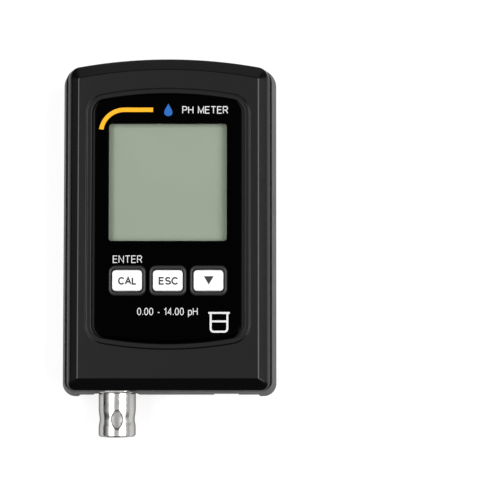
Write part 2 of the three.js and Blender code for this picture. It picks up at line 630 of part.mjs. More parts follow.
function couplingRing() {
  const { radius, waist, rear, front, bore, lip, lipThickness } = RING;
  const body = turned([
    [bore, front], [radius - 0.9, front], [radius - 0.3, front + 0.25], [radius, front + 0.9],
    [radius, WAIST.front], [waist, WAIST.front + WAIST.step], [waist, WAIST.rear - WAIST.step],
    [radius, WAIST.rear],
    [radius, rear - 0.4], [radius - 0.4, rear], [lip, rear], [lip, rear - lipThickness],
    [bore, rear - lipThickness],
  ], 40);
  // Two pointed windows on opposite sides, where the bayonet studs come to rest
  const { y, width, length, turn } = RING_WINDOW;
  const bow = (length ** 2 / 4 + width ** 2 / 4) / width;      // radius of each side of the lens
  const reach = Math.asin(length / 2 / bow);
  const side = (sign) => arcPoints(-sign * (bow - width / 2), 0, bow, -reach, reach, 8)
    .map((p) => (sign > 0 ? p : new THREE.Vector2(2 * -sign * (bow - width / 2) - p.x, -p.y)));
  const lens = new THREE.Shape([...side(1), ...side(-1).slice(1, -1)]);
  const reachZ = radius + 1;
  const windows = prism(lens, -reachZ, reachZ)
    .rotateY(THREE.MathUtils.degToRad(turn))
    .translate(CONNECTOR_X, y, SEAM_Z);
  return cut(body, windows);
}

function buildConnector() {
  add('connector_body', 'plated_metal', connectorBody());
  const { bore, radius, front, back } = INSULATOR;
  add('connector_insulator', 'white_insulator', washer(bore, radius, front, back, 20));
  add('connector_pin', 'gold_contact', turned([
    [0, PIN.front], [PIN.tip, PIN.front], [PIN.radius, PIN.shoulder], [PIN.radius, PIN.back], [0, PIN.back],
  ], 12));
  const threadBore = SHANK.radius + THREAD_GAP;
  add('connector_gasket', 'rubber_grey', washer(threadBore, GASKET.radius, GASKET.front, GASKET.back, 20));
  const hexagon = turnedRod(NUT.radius, NUT.front, NUT.back, 6);
  add('connector_nut', 'plated_metal', cut(hexagon, turnedRod(threadBore, NUT.front - 1, NUT.back + 1, 20)));
  // The wave washer lies on the shoulder; the slip washer carries the ring's inner lip, and the
  // space between the two washers is the ring's axial play.
  const waveFront = SHOULDER.back + 0.1;
  const slipBack = RING.rear - RING.lipThickness - 0.1;
  const { inner, outer, thickness } = WASHER;
  add('wave_washer', 'steel', washer(inner, outer, waveFront, waveFront + thickness, 20));
  add('slip_washer', 'steel', washer(inner, outer, slipBack - thickness, slipBack, 20));
  add('coupling_ring', 'chrome', couplingRing());
}

// Screened lead from the connector's pin up to the shielded input, as one smooth bend
function buildSignalLead() {
  const route = new THREE.CatmullRomCurve3([
    new THREE.Vector3(CONNECTOR_X, -50.2, SEAM_Z),
    new THREE.Vector3(CONNECTOR_X, -46, SEAM_Z - 1),
    new THREE.Vector3(CONNECTOR_X + 4, -40, 10.5),
    new THREE.Vector3(CONNECTOR_X + 9, -34, 11.5),
    new THREE.Vector3(CONNECTOR_X + 10, -30, 13.6),
  ]);
  const bore = new THREE.Shape().absarc(0, 0, 0.9, 0, 2 * Math.PI);
  const settings = { steps: 14, extrudePath: route, curveSegments: 4, bevelEnabled: false };
  add('signal_lead', 'rubber_grey', new THREE.ExtrudeGeometry(bore, settings));
}

// ---------------------------------------------------------------- assembly

function buildCase() {
  add('front_bezel', 'black_plastic', frontBezel());
  add('front_panel', 'panel_black', frontPanel());
  add('upper_case', 'grey_plastic', upperCase());
  add('lower_case', 'grey_plastic', lowerCase());
  add('battery_cover', 'grey_plastic', batteryCover());
  const { headRadius, headHeight, headZ, radius, tip } = CASE_SCREW;
  CASE_SCREW_PLACES.forEach(([x, y], i) => {
    const head = post(x, y, headZ - headHeight, headZ - 0.1, headRadius, 16);
    const drive = box(x - 1.4, x + 1.4, y - 0.3, y + 0.3, 0, headZ - headHeight + 0.7);
    const screw = join(head, post(x, y, headZ - 0.5, tip, radius, 8));
    add(`case_screw_${i + 1}`, 'steel', cut(screw, drive));
  });
}

buildCase();
buildDisplay();
buildKeys();
buildBoard();
add('power_socket', 'chip_black', powerSocket());
buildCells();
buildConnector();
buildSignalLead();

// Origin at the centre of the footprint
meter.position.y = -(SEAM_OUTLINE.top + RING.front) / 2;
const part = new THREE.Group();
part.add(meter);
export default part;
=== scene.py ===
"""Looks for a hand-held pH meter that lies on its back: fine surfaces, materials, legends and light.

The object's lengths are millimetres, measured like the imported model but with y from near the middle
of the front face; shift() turns them into the frame's metres. Lights and bump depths are in metres.
"""

import json
import math
from collections import namedtuple

import bmesh
import bpy
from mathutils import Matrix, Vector


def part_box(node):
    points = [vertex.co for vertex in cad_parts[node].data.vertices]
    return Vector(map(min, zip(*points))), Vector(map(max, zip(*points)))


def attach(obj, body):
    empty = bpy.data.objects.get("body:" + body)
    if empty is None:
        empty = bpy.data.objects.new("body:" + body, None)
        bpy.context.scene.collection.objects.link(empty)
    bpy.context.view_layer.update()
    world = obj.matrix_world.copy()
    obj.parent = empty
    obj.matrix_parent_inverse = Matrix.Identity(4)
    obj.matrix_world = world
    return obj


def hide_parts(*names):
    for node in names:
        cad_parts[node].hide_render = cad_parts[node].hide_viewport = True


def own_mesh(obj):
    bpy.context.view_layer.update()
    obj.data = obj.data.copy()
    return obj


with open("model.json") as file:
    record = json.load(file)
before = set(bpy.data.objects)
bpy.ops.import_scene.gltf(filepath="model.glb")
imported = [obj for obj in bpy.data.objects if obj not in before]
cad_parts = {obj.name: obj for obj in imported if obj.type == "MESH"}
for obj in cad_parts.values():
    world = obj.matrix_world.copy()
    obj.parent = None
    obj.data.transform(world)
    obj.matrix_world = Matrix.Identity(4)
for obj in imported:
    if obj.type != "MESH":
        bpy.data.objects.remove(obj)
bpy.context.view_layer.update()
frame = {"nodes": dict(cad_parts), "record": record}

MM = 0.001

# ------------------------------------------------------------------ dimensions

STRAIGHT = 1e5         # arc radius that stands for a straight end
Outline = namedtuple("Outline", "half top bottom top_corner bottom_corner top_radius bottom_radius")
SEAM = Outline(42.0, 65.5, -66.7, 6.6, 5.0, 204, STRAIGHT)       # the case where its two shells meet
RIM = Outline(40.25, 64.65, -64.35, 6.0, 4.0, 202, STRAIGHT)     # the case's lip, round the bezel's foot
BEZEL = Outline(39.5, 64.75, -64.0, 5.4, 3.4, 202, STRAIGHT)     # the bezel's lower edge
FLAT = Outline(34.8, 60.3, -59.2, 0.5, 0.4, 180, STRAIGHT)       # the flat face inside the bevels
BEAD = Outline(31.6, 52.9, -48.0, 7.6, 7.6, 144, 144)            # outside of the bead round the panel
PANEL = Outline(28.35, 50.8, -45.8, 5.4, 5.4, 144, 144)          # the panel's edge
PANEL_FACE = Outline(27.95, 50.4, -44.4, 5.0, 5.0, 144, 144)     # the panel's flat face

# levels, up from the back
SEAM_Z = 13.0
PARTING_Z = 21.6
BEZEL_UNDER_Z = 23.0
PANEL_SEAT_Z = 24.6
PANEL_EDGE_Z = 25.6
FACE_Z = 26.0
BEAD_Z = 26.45

BEVEL_SIDE = (0.45, 22.5)   # the bezel's side leans in by so much up to this level
BEVEL_SLOPE = 31       # degrees, of the plane between the flat and the rolled edge
BEVEL_ROLL = 2.3       # how far in from the edge the roll-over ends
END_ROLL = 0.3         # reach of the rounding at the two ends, where the side is upright
CREASE = 0.35          # reach of the rounding between the plane and the flat
BEAD_WIDTH = 2.3
BEAD_SLOPE = 0.3       # run of the bead's slopes
BEZEL_POCKET = (-36.4, 36.4, -59.6, 58.4)     # hollow of the bezel's underside
BEZEL_OPENING = (-25.3, 25.3, -9.2, 42.0)     # what the display shows through

HAIRLINE = 0.2         # gap drawn between parted pieces
SEAM_CHAMFER = 0.35
SEAM_EDGE = 0.45       # height of the upper shell's chamfer
LIP = 0.2              # width of the case's lip, outside the groove that parts it from the bezel
GROOVE = (0.45, 0.9)   # the groove's visible width and its depth
GROOVE_HIDDEN = 0.3    # how far the groove runs on under the bezel
WALL = 2.2
BACK_WALL = 2.4
BACK_INSET = 4.2       # how far the back face is set in from the seam
BACK_ROUND = 2.6       # rounding of its edge

CASE_SCREWS = [(x, y) for x in (-34.6, 34.6) for y in (-56.4, 55.4)]
BOSS_RADIUS = 3.4
SCREW_BORE = 1.6
SCREW_WELL = (2.7, 4.2)     # radius and depth
SCREW_SIZES = {"case": (1.8, 1.3), "board": (1.5, 1.0)}     # head height and shaft radius

BAY = (-22.6, 22.6, 5.0, 55.0)
BAY_WALL = 1.6
BAY_WALL_TOP = 11.0
RAIL_PAD = (-27, 27, 1, 60, 1.5, 3.4)
DOOR_HALF = 24.0
DOOR_TONGUE = 1.4
DOOR_START = 3.0
DOOR_SKIN = 1.1
DOOR_TOP_Z = 2.1
DOOR_GAP = 0.25

KEYS = {"cal": -15.65, "esc": 0.0, "down": 15.65}
KEY_ROW_Y = -21.55
KEY_SIZE = (11.4, 7.9)
KEY_CORNER = 1.3
KEY_TOP = 26.9
KEY_GAP = 0.25
KEY_FLANGE = 1.1       # how far the flange under the bezel stands out
KEY_FLANGE_TOP = 22.85
COLLAR_SIZE = (14.2, 11.3)
COLLAR_TOP = 26.4
COLLAR_BEVEL = 0.3
COLLAR_CREST = 0.35    # width of the crest, and its drop towards the key
COLLAR_GAP = 0.4       # between the key and the collar
COLLAR_MARGIN = (COLLAR_SIZE[0] - KEY_SIZE[0]) / 2
COLLAR_STRETCH = (COLLAR_SIZE[1] - KEY_SIZE[1]) / 2 / COLLAR_MARGIN
THROUGH = (20, 30)     # levels of the cutters that go through the panel

WINDOW = (-22.9, 22.6, -6.3, 39.1)
WINDOW_CORNER = 1.0
WINDOW_GAP = 0.1       # round the pane
PANE = (24.85, 25.75)  # the pane's lower and upper face

AXIS_X = -20.5         # the probe connector's axis runs along y through this x, at the seam's level
END_FLAT = 0.8         # depth of the shallow flat on the bottom end
END_WALL = (-64, -61.6)     # front and back of the thick wall behind it
FLANGE_SEAT = 9.5
SHANK_BORE = 5.1
SOCKET_HOLE = (17.6, 27.2)
WASHER_BORE = 4.85     # radius, of both washers
WAVE = 0.12            # half the height of the wave washer's waves

FACE_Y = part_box("lower_case")[0].y / MM - SEAM.bottom


def shift(x, y, z):
    """A point in this script's millimetres as a point of the frame, in metres."""
    return Vector((x, y + FACE_Y, z)) * MM


def node_box(node):
    """A CAD node's (x0, x1, y0, y1, z0, z1) in this script's millimetres."""
    low, high = (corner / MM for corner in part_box(node))
    return low.x, high.x, low.y - FACE_Y, high.y - FACE_Y, low.z, high.z


# ------------------------------------------------------------------ mesh helpers

CORNER_STEPS = 12
END_STEPS = 24


def arc(cx, cy, radius, start, end, steps):
    angles = [start + (end - start) * i / steps for i in range(steps + 1)]
    return [(cx + radius * math.cos(a), cy + radius * math.sin(a)) for a in angles]


def end_points(half, apex, corner, radius):
    """Right half of one end: the corner arc, then the end arc as far as the centre line."""
    centre = apex - radius
    corner_y = centre + math.sqrt((radius - corner) ** 2 - (half - corner) ** 2)
    meet = math.atan2(corner_y - centre, half - corner)
    points = arc(half - corner, corner_y, corner, 0, meet, CORNER_STEPS)
    return points + arc(0, centre, radius, meet, math.pi / 2, END_STEPS)[1:]


def outline(o, inset=0.0):
    """Closed anticlockwise outline, moved inwards by inset."""
    def end(apex, corner, radius):
        return end_points(o.half - inset, apex - inset, max(corner - inset, 0.15), radius - inset)
    top = end(o.top, o.top_corner, o.top_radius)
    bottom = [(x, -y) for x, y in end(-o.bottom, o.bottom_corner, o.bottom_radius)]
    mirrored = [(-x, y) for x, y in reversed(top[:-1])]
    return top + mirrored + [(-x, y) for x, y in bottom] + list(reversed(bottom[:-1]))


def between(a, b, t):
    """The outline a share t of the way from a to b."""
    return Outline(*(p + (q - p) * t for p, q in zip(a, b)))


def rounded_box(x0, x1, y0, y1, corner, steps=8):
    quarter = math.pi / 2
    points = []
    for i, (cx, cy) in enumerate([(x1 - corner, y1 - corner), (x0 + corner, y1 - corner),
                                  (x0 + corner, y0 + corner), (x1 - corner, y0 + corner)]):
        points += arc(cx, cy, corner, i * quarter, (i + 1) * quarter, steps)
    return points


def ring_at(points, z):
    return [(x, y, z) for x, y in points]


def curve_through(start, control, end, steps):
    """Points of a quadratic curve after its start."""
    start, control, end = Vector(start), Vector(control), Vector(end)
    shares = [(i + 1) / steps for i in range(steps)]
    return [tuple(start * (1 - t) ** 2 + control * 2 * t * (1 - t) + end * t ** 2) for t in shares]


def softened(profile, radius, steps=4, closed=False):
    """The polyline with each inner corner replaced by a small curve."""
    count = len(profile)
    result = []
    for i, corner in enumerate(profile):
        if not closed and i in (0, count - 1):
            result.append(corner)
            continue
        before, here, after = (Vector(profile[(i + k) % count]) for k in (-1, 0, 1))
        back, ahead = before - here, after - here
        reach = min(radius, back.length * 0.45, ahead.length * 0.45)
        a = here + back.normalized() * reach
        b = here + ahead.normalized() * reach
        result += [tuple(a)] + curve_through(a, here, b, steps)
    return result


def new_object(name, vertices, faces):
    """A cleaned mesh object from points in millimetres, with its normals facing out."""
    mesh = bpy.data.meshes.new(name)
    mesh.from_pydata([shift(*v) for v in vertices], [], faces)
    built = bmesh.new()
    built.from_mesh(mesh)
    bmesh.ops.remove_doubles(built, verts=built.verts, dist=1e-7)
    bmesh.ops.dissolve_degenerate(built, edges=built.edges, dist=1e-7)
    bmesh.ops.recalc_face_normals(built, faces=built.faces)
    built.to_mesh(mesh)
    built.free()
    piece = bpy.data.objects.new(name, mesh)
    bpy.context.scene.collection.objects.link(piece)
    return piece


def loft(name, rings, closed=False):
    """A solid through rings of equal point count; closed joins the last ring to the first."""
    count = len(rings[0])
    levels = len(rings) if closed else len(rings) - 1
    faces = []
    for level in range(levels):
        low, high = level * count, (level + 1) % len(rings) * count
        faces += [(low + i, low + (i + 1) % count, high + (i + 1) % count, high + i) for i in range(count)]
    if not closed:
        top = (len(rings) - 1) * count
        faces += [tuple(reversed(range(count))), tuple(top + i for i in range(count))]
    return new_object(name, [p for ring in rings for p in ring], faces)


def plate(name, points, z0, z1):
    """An outline made solid between two levels."""
    return loft(name, [ring_at(points, z0), ring_at(points, z1)])


def block(name, x0, x1, y0, y1, z0, z1):
    return plate(name, [(x1, y0), (x1, y1), (x0, y1), (x0, y0)], z0, z1)


def post(name, x, y, z0, z1, radius, sides=32):
    """An upright cylinder."""
    return plate(name, arc(x, y, radius, 0, 2 * math.pi, sides)[:-1], z0, z1)


def turned(name, profile, sides=96, x=AXIS_X, z=SEAM_Z):
    """Solid of revolution about a line along y, from a closed profile of (radius, y)."""
    rings = []
    for i in range(sides):
        angle = 2 * math.pi * i / sides
        rings.append([(x + r * math.cos(angle), y, z + r * math.sin(angle)) for r, y in profile])
    return loft(name, rings, closed=True)


def spun(name, profile, x, y, sides=32, closed=False):
    """Solid of revolution about an upright line, from a profile of (radius, z)."""
    circles = [ring_at(arc(x, y, r, 0, 2 * math.pi, sides)[:-1], z) for r, z in profile]
    return loft(name, circles, closed=closed)


def rod(name, radius, y0, y1):
    """A cylinder on the connector's axis."""
    return turned(name, [(0.001, y0), (radius, y0), (radius, y1), (0.001, y1)], 64)


def bake_modifiers(piece):
    """Swaps the piece's mesh for the one that its modifiers make."""
    depsgraph = bpy.context.evaluated_depsgraph_get()
    mesh = bpy.data.meshes.new_from_object(piece.evaluated_get(depsgraph))
    piece.modifiers.clear()
    old = piece.data
    piece.data = mesh
    bpy.data.meshes.remove(old)


def combine(target, tools, operation):
    for tool in tools:
        modifier = target.modifiers.new("combine", "BOOLEAN")
        modifier.operation = operation
        modifier.solver = "EXACT"
        modifier.object = tool
        bake_modifiers(target)
        bpy.data.objects.remove(tool)
    return target


def cut(target, *tools):
    return combine(target, tools, "DIFFERENCE")


def join(target, *tools):
    return combine(target, tools, "UNION")


def smooth(piece, sharp_degrees=35):
    mesh = piece.data
    for polygon in mesh.polygons:
        polygon.use_smooth = True
    mesh.set_sharp_from_angle(angle=math.radians(sharp_degrees))
    weighted = piece.modifiers.new("weighted normals", "WEIGHTED_NORMAL")
    weighted.keep_sharp = True


def finish_piece(piece, body, slot, *nodes, material=None, sharp_degrees=35):
    """Shades a new piece, gives it its material (its slot's, unless one is given), parents it to its body's
    empty and hides the CAD nodes it stands for.
    """
    smooth(piece, sharp_degrees)
    piece.data.materials.clear()
    piece.data.materials.append(material or MATERIALS[slot])
    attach(piece, body)
    if nodes:
        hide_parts(*nodes)
    return piece


# ------------------------------------------------------------------ materials


def shader(name, **inputs):
    """A material with a Principled shader whose sockets are set by name."""
    material = bpy.data.materials.new(name)
    material.use_nodes = True
    principled = material.node_tree.nodes["Principled BSDF"]
    for key, value in inputs.items():
        socket = principled.inputs[key.replace("_", " ")]
        socket.default_value = (*value, 1) if isinstance(value, tuple) else value
    return material


class Nodes:
    """Short names for building one material's node tree."""

    def __init__(self, material):
        self.tree = material.node_tree
        self.principled = self.tree.nodes["Principled BSDF"]

    def node(self, kind, **inputs):
        made = self.tree.nodes.new(kind)
        for key, value in inputs.items():
            made.inputs[key.replace("_", " ")].default_value = value
        return made

    def link(self, source, target):
        self.tree.links.new(source, target)

    def place(self, scale=(1, 1, 1)):
        """Object coordinates, stretched by scale."""
        where = self.node("ShaderNodeTexCoord")
        mapping = self.node("ShaderNodeMapping", Scale=scale)
        self.link(where.outputs["Object"], mapping.inputs["Vector"])
        return mapping.outputs["Vector"]

    def noise(self, scale, detail=4.0, stretch=(1, 1, 1), roughness=0.55):
        made = self.node("ShaderNodeTexNoise", Scale=scale, Detail=detail, Roughness=roughness)
        self.link(self.place(stretch), made.inputs["Vector"])
        return made.outputs["Fac"]

    def spread(self, value, low, high):
        """A noise value mapped to the range from low to high."""
        made = self.node("ShaderNodeMapRange", From_Min=0.3, From_Max=0.7, To_Min=low, To_Max=high)
        self.link(value, made.inputs["Value"])
        return made.outputs["Result"]

    def blend_colours(self, value, first, second):
        made = self.node("ShaderNodeMix")
        made.data_type = "RGBA"
        made.inputs[6].default_value = (*first, 1)
        made.inputs[7].default_value = (*second, 1)
        self.link(value, made.inputs["Factor"])
        return made.outputs[2]

    def bump(self, *layers):
        """Bump from (height, depth in metres) layers."""
        normal = None
        for height, depth in layers:
            made = self.node("ShaderNodeBump", Strength=1.0, Distance=depth)
            self.link(height, made.inputs["Height"])
            if normal is not None:
                self.link(normal, made.inputs["Normal"])
            normal = made.outputs["Normal"]
        self.link(normal, self.principled.inputs["Normal"])


def scaled(colour, factor):
    return tuple(min(channel * factor, 1.0) for channel in colour)


def moulded(name, colour, roughness, grain=3600, depth=2.5e-6, mottle=0.06, **inputs):
    """Moulded plastic or rubber: spark-eroded grain, faint mottling and uneven sheen."""
    material = shader(name, Roughness=roughness, **inputs)
    nodes = Nodes(material)
    patches = nodes.spread(nodes.noise(55, 5), 0, 1)
    tint = nodes.blend_colours(patches, scaled(colour, 1 - mottle), scaled(colour, 1 + mottle))
    nodes.link(tint, nodes.principled.inputs["Base Color"])
    sheen = nodes.spread(nodes.noise(140, 6), roughness * 0.92, roughness * 1.08)
    nodes.link(sheen, nodes.principled.inputs["Roughness"])
    nodes.bump((nodes.noise(grain, 3), depth), (nodes.noise(90, 2), depth * 1.5))
    return material


def plated(name, colour, roughness, marks=(300, 9000, 300), depth=1.5e-6, **inputs):
    """Turned and plated metal: fine tool marks round the axis, faint haze."""
    material = shader(name, Metallic=1.0, **inputs)
    nodes = Nodes(material)
    haze = nodes.spread(nodes.noise(160, 5), 0, 1)
    tint = nodes.blend_colours(haze, scaled(colour, 0.96), colour)
    nodes.link(tint, nodes.principled.inputs["Base Color"])
    sheen = nodes.spread(nodes.noise(420, 4), roughness * 0.7, roughness * 1.35)
    nodes.link(sheen, nodes.principled.inputs["Roughness"])
    nodes.bump((nodes.noise(1.0, 2, stretch=marks), depth))
    return material


def printed(name, colour, roughness=0.5):
    """Screen-printed ink: slightly uneven coverage."""
    material = shader(name, Roughness=roughness, Specular_IOR_Level=0.2)
    nodes = Nodes(material)
    cover = nodes.spread(nodes.noise(900, 3), 0, 1)
    tint = nodes.blend_colours(cover, scaled(colour, 0.93), colour)
    nodes.link(tint, nodes.principled.inputs["Base Color"])
    nodes.bump((nodes.noise(4000, 2), 1e-6))
    return material


def gloss_panel():
    """Glossy black overlay with an uneven sheen."""
    material = shader("panel gloss black", Specular_IOR_Level=0.015)
    nodes = Nodes(material)
    tint = nodes.blend_colours(nodes.noise(40, 3), (0.0001, 0.0001, 0.0001), (0.0002, 0.0002, 0.0002))
    nodes.link(tint, nodes.principled.inputs["Base Color"])
    nodes.link(nodes.spread(nodes.noise(300, 5), 0.09, 0.16), nodes.principled.inputs["Roughness"])
    nodes.bump((nodes.noise(60, 2), 4e-6))
    return material


def clear_lens():
    """Clear plastic that mostly shows as its reflection."""
    material = shader("clear lens", Base_Color=(0.01, 0.012, 0.01), Alpha=0.05, Specular_IOR_Level=1.0)
    nodes = Nodes(material)
    nodes.link(nodes.spread(nodes.noise(220, 4), 0.02, 0.05), nodes.principled.inputs["Roughness"])
    material.surface_render_method = "BLENDED"
    return material


def display_cell():
    """Blank reflective display: faint fibre of the polariser and a slow drift in tone."""
    material = shader("display cell", Roughness=0.5, Specular_IOR_Level=0.1)
    nodes = Nodes(material)
    drift = nodes.spread(nodes.noise(22, 2), 0, 1)
    tint = nodes.blend_colours(drift, (0.330, 0.388, 0.300), (0.350, 0.410, 0.318))
    nodes.link(tint, nodes.principled.inputs["Base Color"])
    nodes.bump((nodes.noise(1.0, 2, stretch=(9000, 400, 400)), 8e-7))
    return material


def circuit_board():
    """Solder-masked board with a faint pattern of tracks under the mask."""
    material = shader("circuit board", Roughness=0.35)
    nodes = Nodes(material)
    bricks = nodes.node("ShaderNodeTexBrick", Scale=90.0)
    nodes.link(nodes.place(), bricks.inputs["Vector"])
    tint = nodes.blend_colours(bricks.outputs["Fac"], (0.010, 0.085, 0.035), (0.02, 0.14, 0.06))
    nodes.link(tint, nodes.principled.inputs["Base Color"])
    nodes.bump((bricks.outputs["Fac"], 2e-5))
    return material


MATERIALS = {
    "black_plastic": moulded("bezel black", (0.0022, 0.0022, 0.0023), 0.17, Specular_IOR_Level=0.34),
    "grey_plastic": moulded("case grey", (0.084, 0.083, 0.081), 0.6, mottle=0.03, Specular_IOR_Level=0.12),
    "panel_black": gloss_panel(),
    "clear_window": clear_lens(),
    "lcd_grey": display_cell(),
    "white_plastic": moulded("key white", (0.74, 0.74, 0.737), 0.42, depth=2e-6, mottle=0.01),
    "chrome": plated("bright nickel", (0.52, 0.513, 0.50), 0.21, Specular_Tint=(0.15, 0.15, 0.15)),
    "plated_metal": plated("satin nickel", (0.52, 0.51, 0.49), 0.28),
    "gold_contact": plated("gold plate", (0.83, 0.58, 0.22), 0.2),
    "white_insulator": moulded("insulator white", (0.82, 0.82, 0.78), 0.45, mottle=0.02),
    "rubber_grey": moulded("silicone grey", (0.26, 0.27, 0.28), 0.75, mottle=0.04),
    "carbon_black": moulded("carbon rubber", (0.012, 0.012, 0.012), 0.85),
    "circuit_green": circuit_board(),
    "chip_black": moulded("moulded epoxy", (0.012, 0.012, 0.013), 0.5),
    "steel": plated("zinc plate", (0.52, 0.53, 0.54), 0.33, marks=(900, 900, 2600)),
    "cell_wrap": moulded("cell wrap", (0.03, 0.09, 0.19), 0.3, depth=2e-6),
}
INK_WHITE = printed("ink white", (0.6, 0.6, 0.6))
INK_GREY = printed("ink dark grey", (0.024, 0.024, 0.024))
INK_ORANGE = printed("ink orange", (0.80, 0.36, 0.006))
INK_BLUE = printed("ink blue", (0.01, 0.1, 0.36))
# Collars: the bezel's black plastic painted about ten times lighter, a painted highlight for the light caught
# on their crests.
COLLAR_PAINTED_HIGHLIGHT = moulded("collar black, painted highlight", (0.021, 0.021, 0.021), 0.2, Specular_IOR_Level=0.4)
# Liner seen through the ring's windows: rougher nickel painted about half as bright as the ring's, as painted
# shade for the windows' recess.
LINER_PAINTED_SHADE = plated("liner nickel, painted shade", (0.24, 0.236, 0.23), 0.45)


# ------------------------------------------------------------------ case


def bevel_profile():
    """(distance in from the edge, z) up the bezel: a leaning side, a roll-over, then a plane to the flat."""
    run = BEZEL.half - FLAT.half
    slope = math.tan(math.radians(BEVEL_SLOPE))
    lean, side_top = BEVEL_SIDE
    steepness = (side_top - PARTING_Z) / lean
    plane_at_edge = FACE_Z - run * slope
    corner = (plane_at_edge - PARTING_Z) / (steepness - slope)
    roll_end = (BEVEL_ROLL, plane_at_edge + BEVEL_ROLL * slope)
    side = [(0.1, PARTING_Z), (0.02, PARTING_Z + 0.04), (0.03, PARTING_Z + 0.12), BEVEL_SIDE]
    side += curve_through(BEVEL_SIDE, (corner, plane_at_edge + corner * slope), roll_end, 14)
    crease = (run - CREASE, FACE_Z - CREASE * slope)
    side.append(crease)
    return side + curve_through(crease, (run, FACE_Z), (run + CREASE, FACE_Z), 6)


def bevel_sections():
    """Rings up the bezel's outside; both ends keep an upright side and a sharper edge."""
    run = BEZEL.half - FLAT.half
    sections = []
    for distance, z in bevel_profile():
        shape = between(BEZEL, FLAT, min(distance / run, 1))
        if distance < run - CREASE:
            fall = (FACE_Z - z) / math.tan(math.radians(BEVEL_SLOPE))
            ends = [end - fall for end in (BEZEL.top - FLAT.top, FLAT.bottom - BEZEL.bottom)]
            top_in, bottom_in = [(end + math.hypot(end, END_ROLL)) / 2 for end in ends]
            shape = shape._replace(top=BEZEL.top - top_in, bottom=BEZEL.bottom + bottom_in)
        sections.append(ring_at(outline(shape, max(distance - run, 0)), z))
    return sections


def bead_sections():
    """The raised bead and the groove inside it, down to the seat of the panel."""
    corners = [(-0.4, FACE_Z), (0, FACE_Z), (BEAD_SLOPE, BEAD_Z), (BEAD_WIDTH - BEAD_SLOPE, BEAD_Z),
               (BEAD_WIDTH, FACE_Z - 0.1), (BEAD_WIDTH, PANEL_SEAT_Z)]
    return [ring_at(outline(BEAD, d), z) for d, z in softened(corners, 0.2, 4)]


def key_outline(x, margin):
    """A key's outline grown by margin at its sides and a little more at its ends, as the collar is."""
    half_width = KEY_SIZE[0] / 2 + margin
    half_height = KEY_SIZE[1] / 2 + margin * COLLAR_STRETCH
    return rounded_box(x - half_width, x + half_width, KEY_ROW_Y - half_height, KEY_ROW_Y + half_height,
                       max(KEY_CORNER + margin * 0.8, 0.4))


def collar_ring(name, x):
    """Raised collar round a key: bevelled outside, with a crest that falls away to the key."""
    base = PANEL_SEAT_Z - 0.4
    crest = COLLAR_MARGIN - COLLAR_BEVEL
    corners = [(COLLAR_MARGIN, base), (COLLAR_MARGIN, COLLAR_TOP - COLLAR_BEVEL), (crest, COLLAR_TOP),
               (crest - COLLAR_CREST, COLLAR_TOP), (COLLAR_GAP, COLLAR_TOP - COLLAR_CREST),
               (COLLAR_GAP, base)]
    rings = [ring_at(key_outline(x, margin), z) for margin, z in softened(corners, 0.12, 4)]
    return loft(name, rings, closed=True)


def front_bezel():
    """The bezel with its bead and openings, and a raised collar round each key."""
    bezel = loft("bezel", bevel_sections() + bead_sections())
    pocket = block("pocket", *BEZEL_POCKET, PARTING_Z - 1, BEZEL_UNDER_Z)
    opening = block("opening", *BEZEL_OPENING, PARTING_Z - 1, PANEL_SEAT_Z + 0.2)
    cut(bezel, pocket, opening)
    for name, x in KEYS.items():
        # the collars get the lighter black, a painted highlight
        finish_piece(collar_ring(f"collar_{name}", x), "case", "black_plastic", material=COLLAR_PAINTED_HIGHLIGHT)
        cut(bezel, plate("key_hole", key_outline(x, KEY_GAP), PARTING_Z - 1, PANEL_SEAT_Z + 0.5))
    finish_piece(bezel, "case", "black_plastic", "front_bezel")


def end_openings():
    """Cutters for the shallow flat on the bottom end and all that passes through that wall."""
    beyond = SEAM.bottom - 1
    floor = SEAM.bottom + END_FLAT
    inside = END_WALL[1] + 1
    flat = [(-35, floor), (-36.6, beyond), (36.6, beyond), (35, floor)]
    return [
        plate("end_flat", flat, -1, PARTING_Z + 1),
        rod("flange_seat", FLANGE_SEAT, beyond, END_WALL[0]),
        rod("shank_bore", SHANK_BORE, END_WALL[0] - 0.5, inside),
        block("socket_hole", *SOCKET_HOLE, beyond, inside, 9.3, 17.4),
    ]


def end_pads(z0, z1):
    """Thick wall behind the connector and the socket."""
    return [block("connector_pad", AXIS_X - 9, AXIS_X + 9, *END_WALL, z0, z1),
            block("socket_pad", SOCKET_HOLE[0] - 1.7, SOCKET_HOLE[1] + 1.7, *END_WALL, z0, z1)]


def upper_case():
    """The upper shell, drafted in from the seam to a lip, with a groove between lip and bezel."""
    base = SEAM_Z + HAIRLINE / 2
    top = PARTING_Z - HAIRLINE
    width, depth = GROOVE
    inner = LIP + width + GROOVE_HIDDEN
    corners = [(SEAM_CHAMFER, base), (0, base + SEAM_EDGE), (0, top), (LIP, top), (LIP, top - depth),
               (inner, top - depth), (inner, top), (WALL, top), (WALL, base)]
    rings = []
    for inset, z in softened(corners, 0.15, closed=True):
        rings.append(ring_at(outline(between(SEAM, RIM, (z - base) / (top - base)), inset), z))
    shell = loft("upper_shell", rings, closed=True)
    bosses = [post("boss", x, y, base, top, BOSS_RADIUS) for x, y in CASE_SCREWS]
    bores = [post("bore", x, y, base - 1, top - 1, SCREW_BORE, 16) for x, y in CASE_SCREWS]
    join(shell, *bosses, *end_pads(base, top))
    cut(shell, *bores, *end_openings())
    finish_piece(shell, "case", "grey_plastic", "upper_case")


def back_sections():
    """The back shell's outside: rounded up from the back face, then drafted out to the seam."""
    seam = SEAM_Z - HAIRLINE / 2
    steps = 10
    angles = [math.pi / 2 * i / steps for i in range(steps + 1)]
    profile = [(BACK_INSET - BACK_ROUND * math.sin(a), BACK_ROUND * (1 - math.cos(a))) for a in angles]
    profile += [(0, seam - 0.5), (0.12, seam - 0.15), (SEAM_CHAMFER, seam)]
    return [ring_at(outline(SEAM, inset), z) for inset, z in profile]


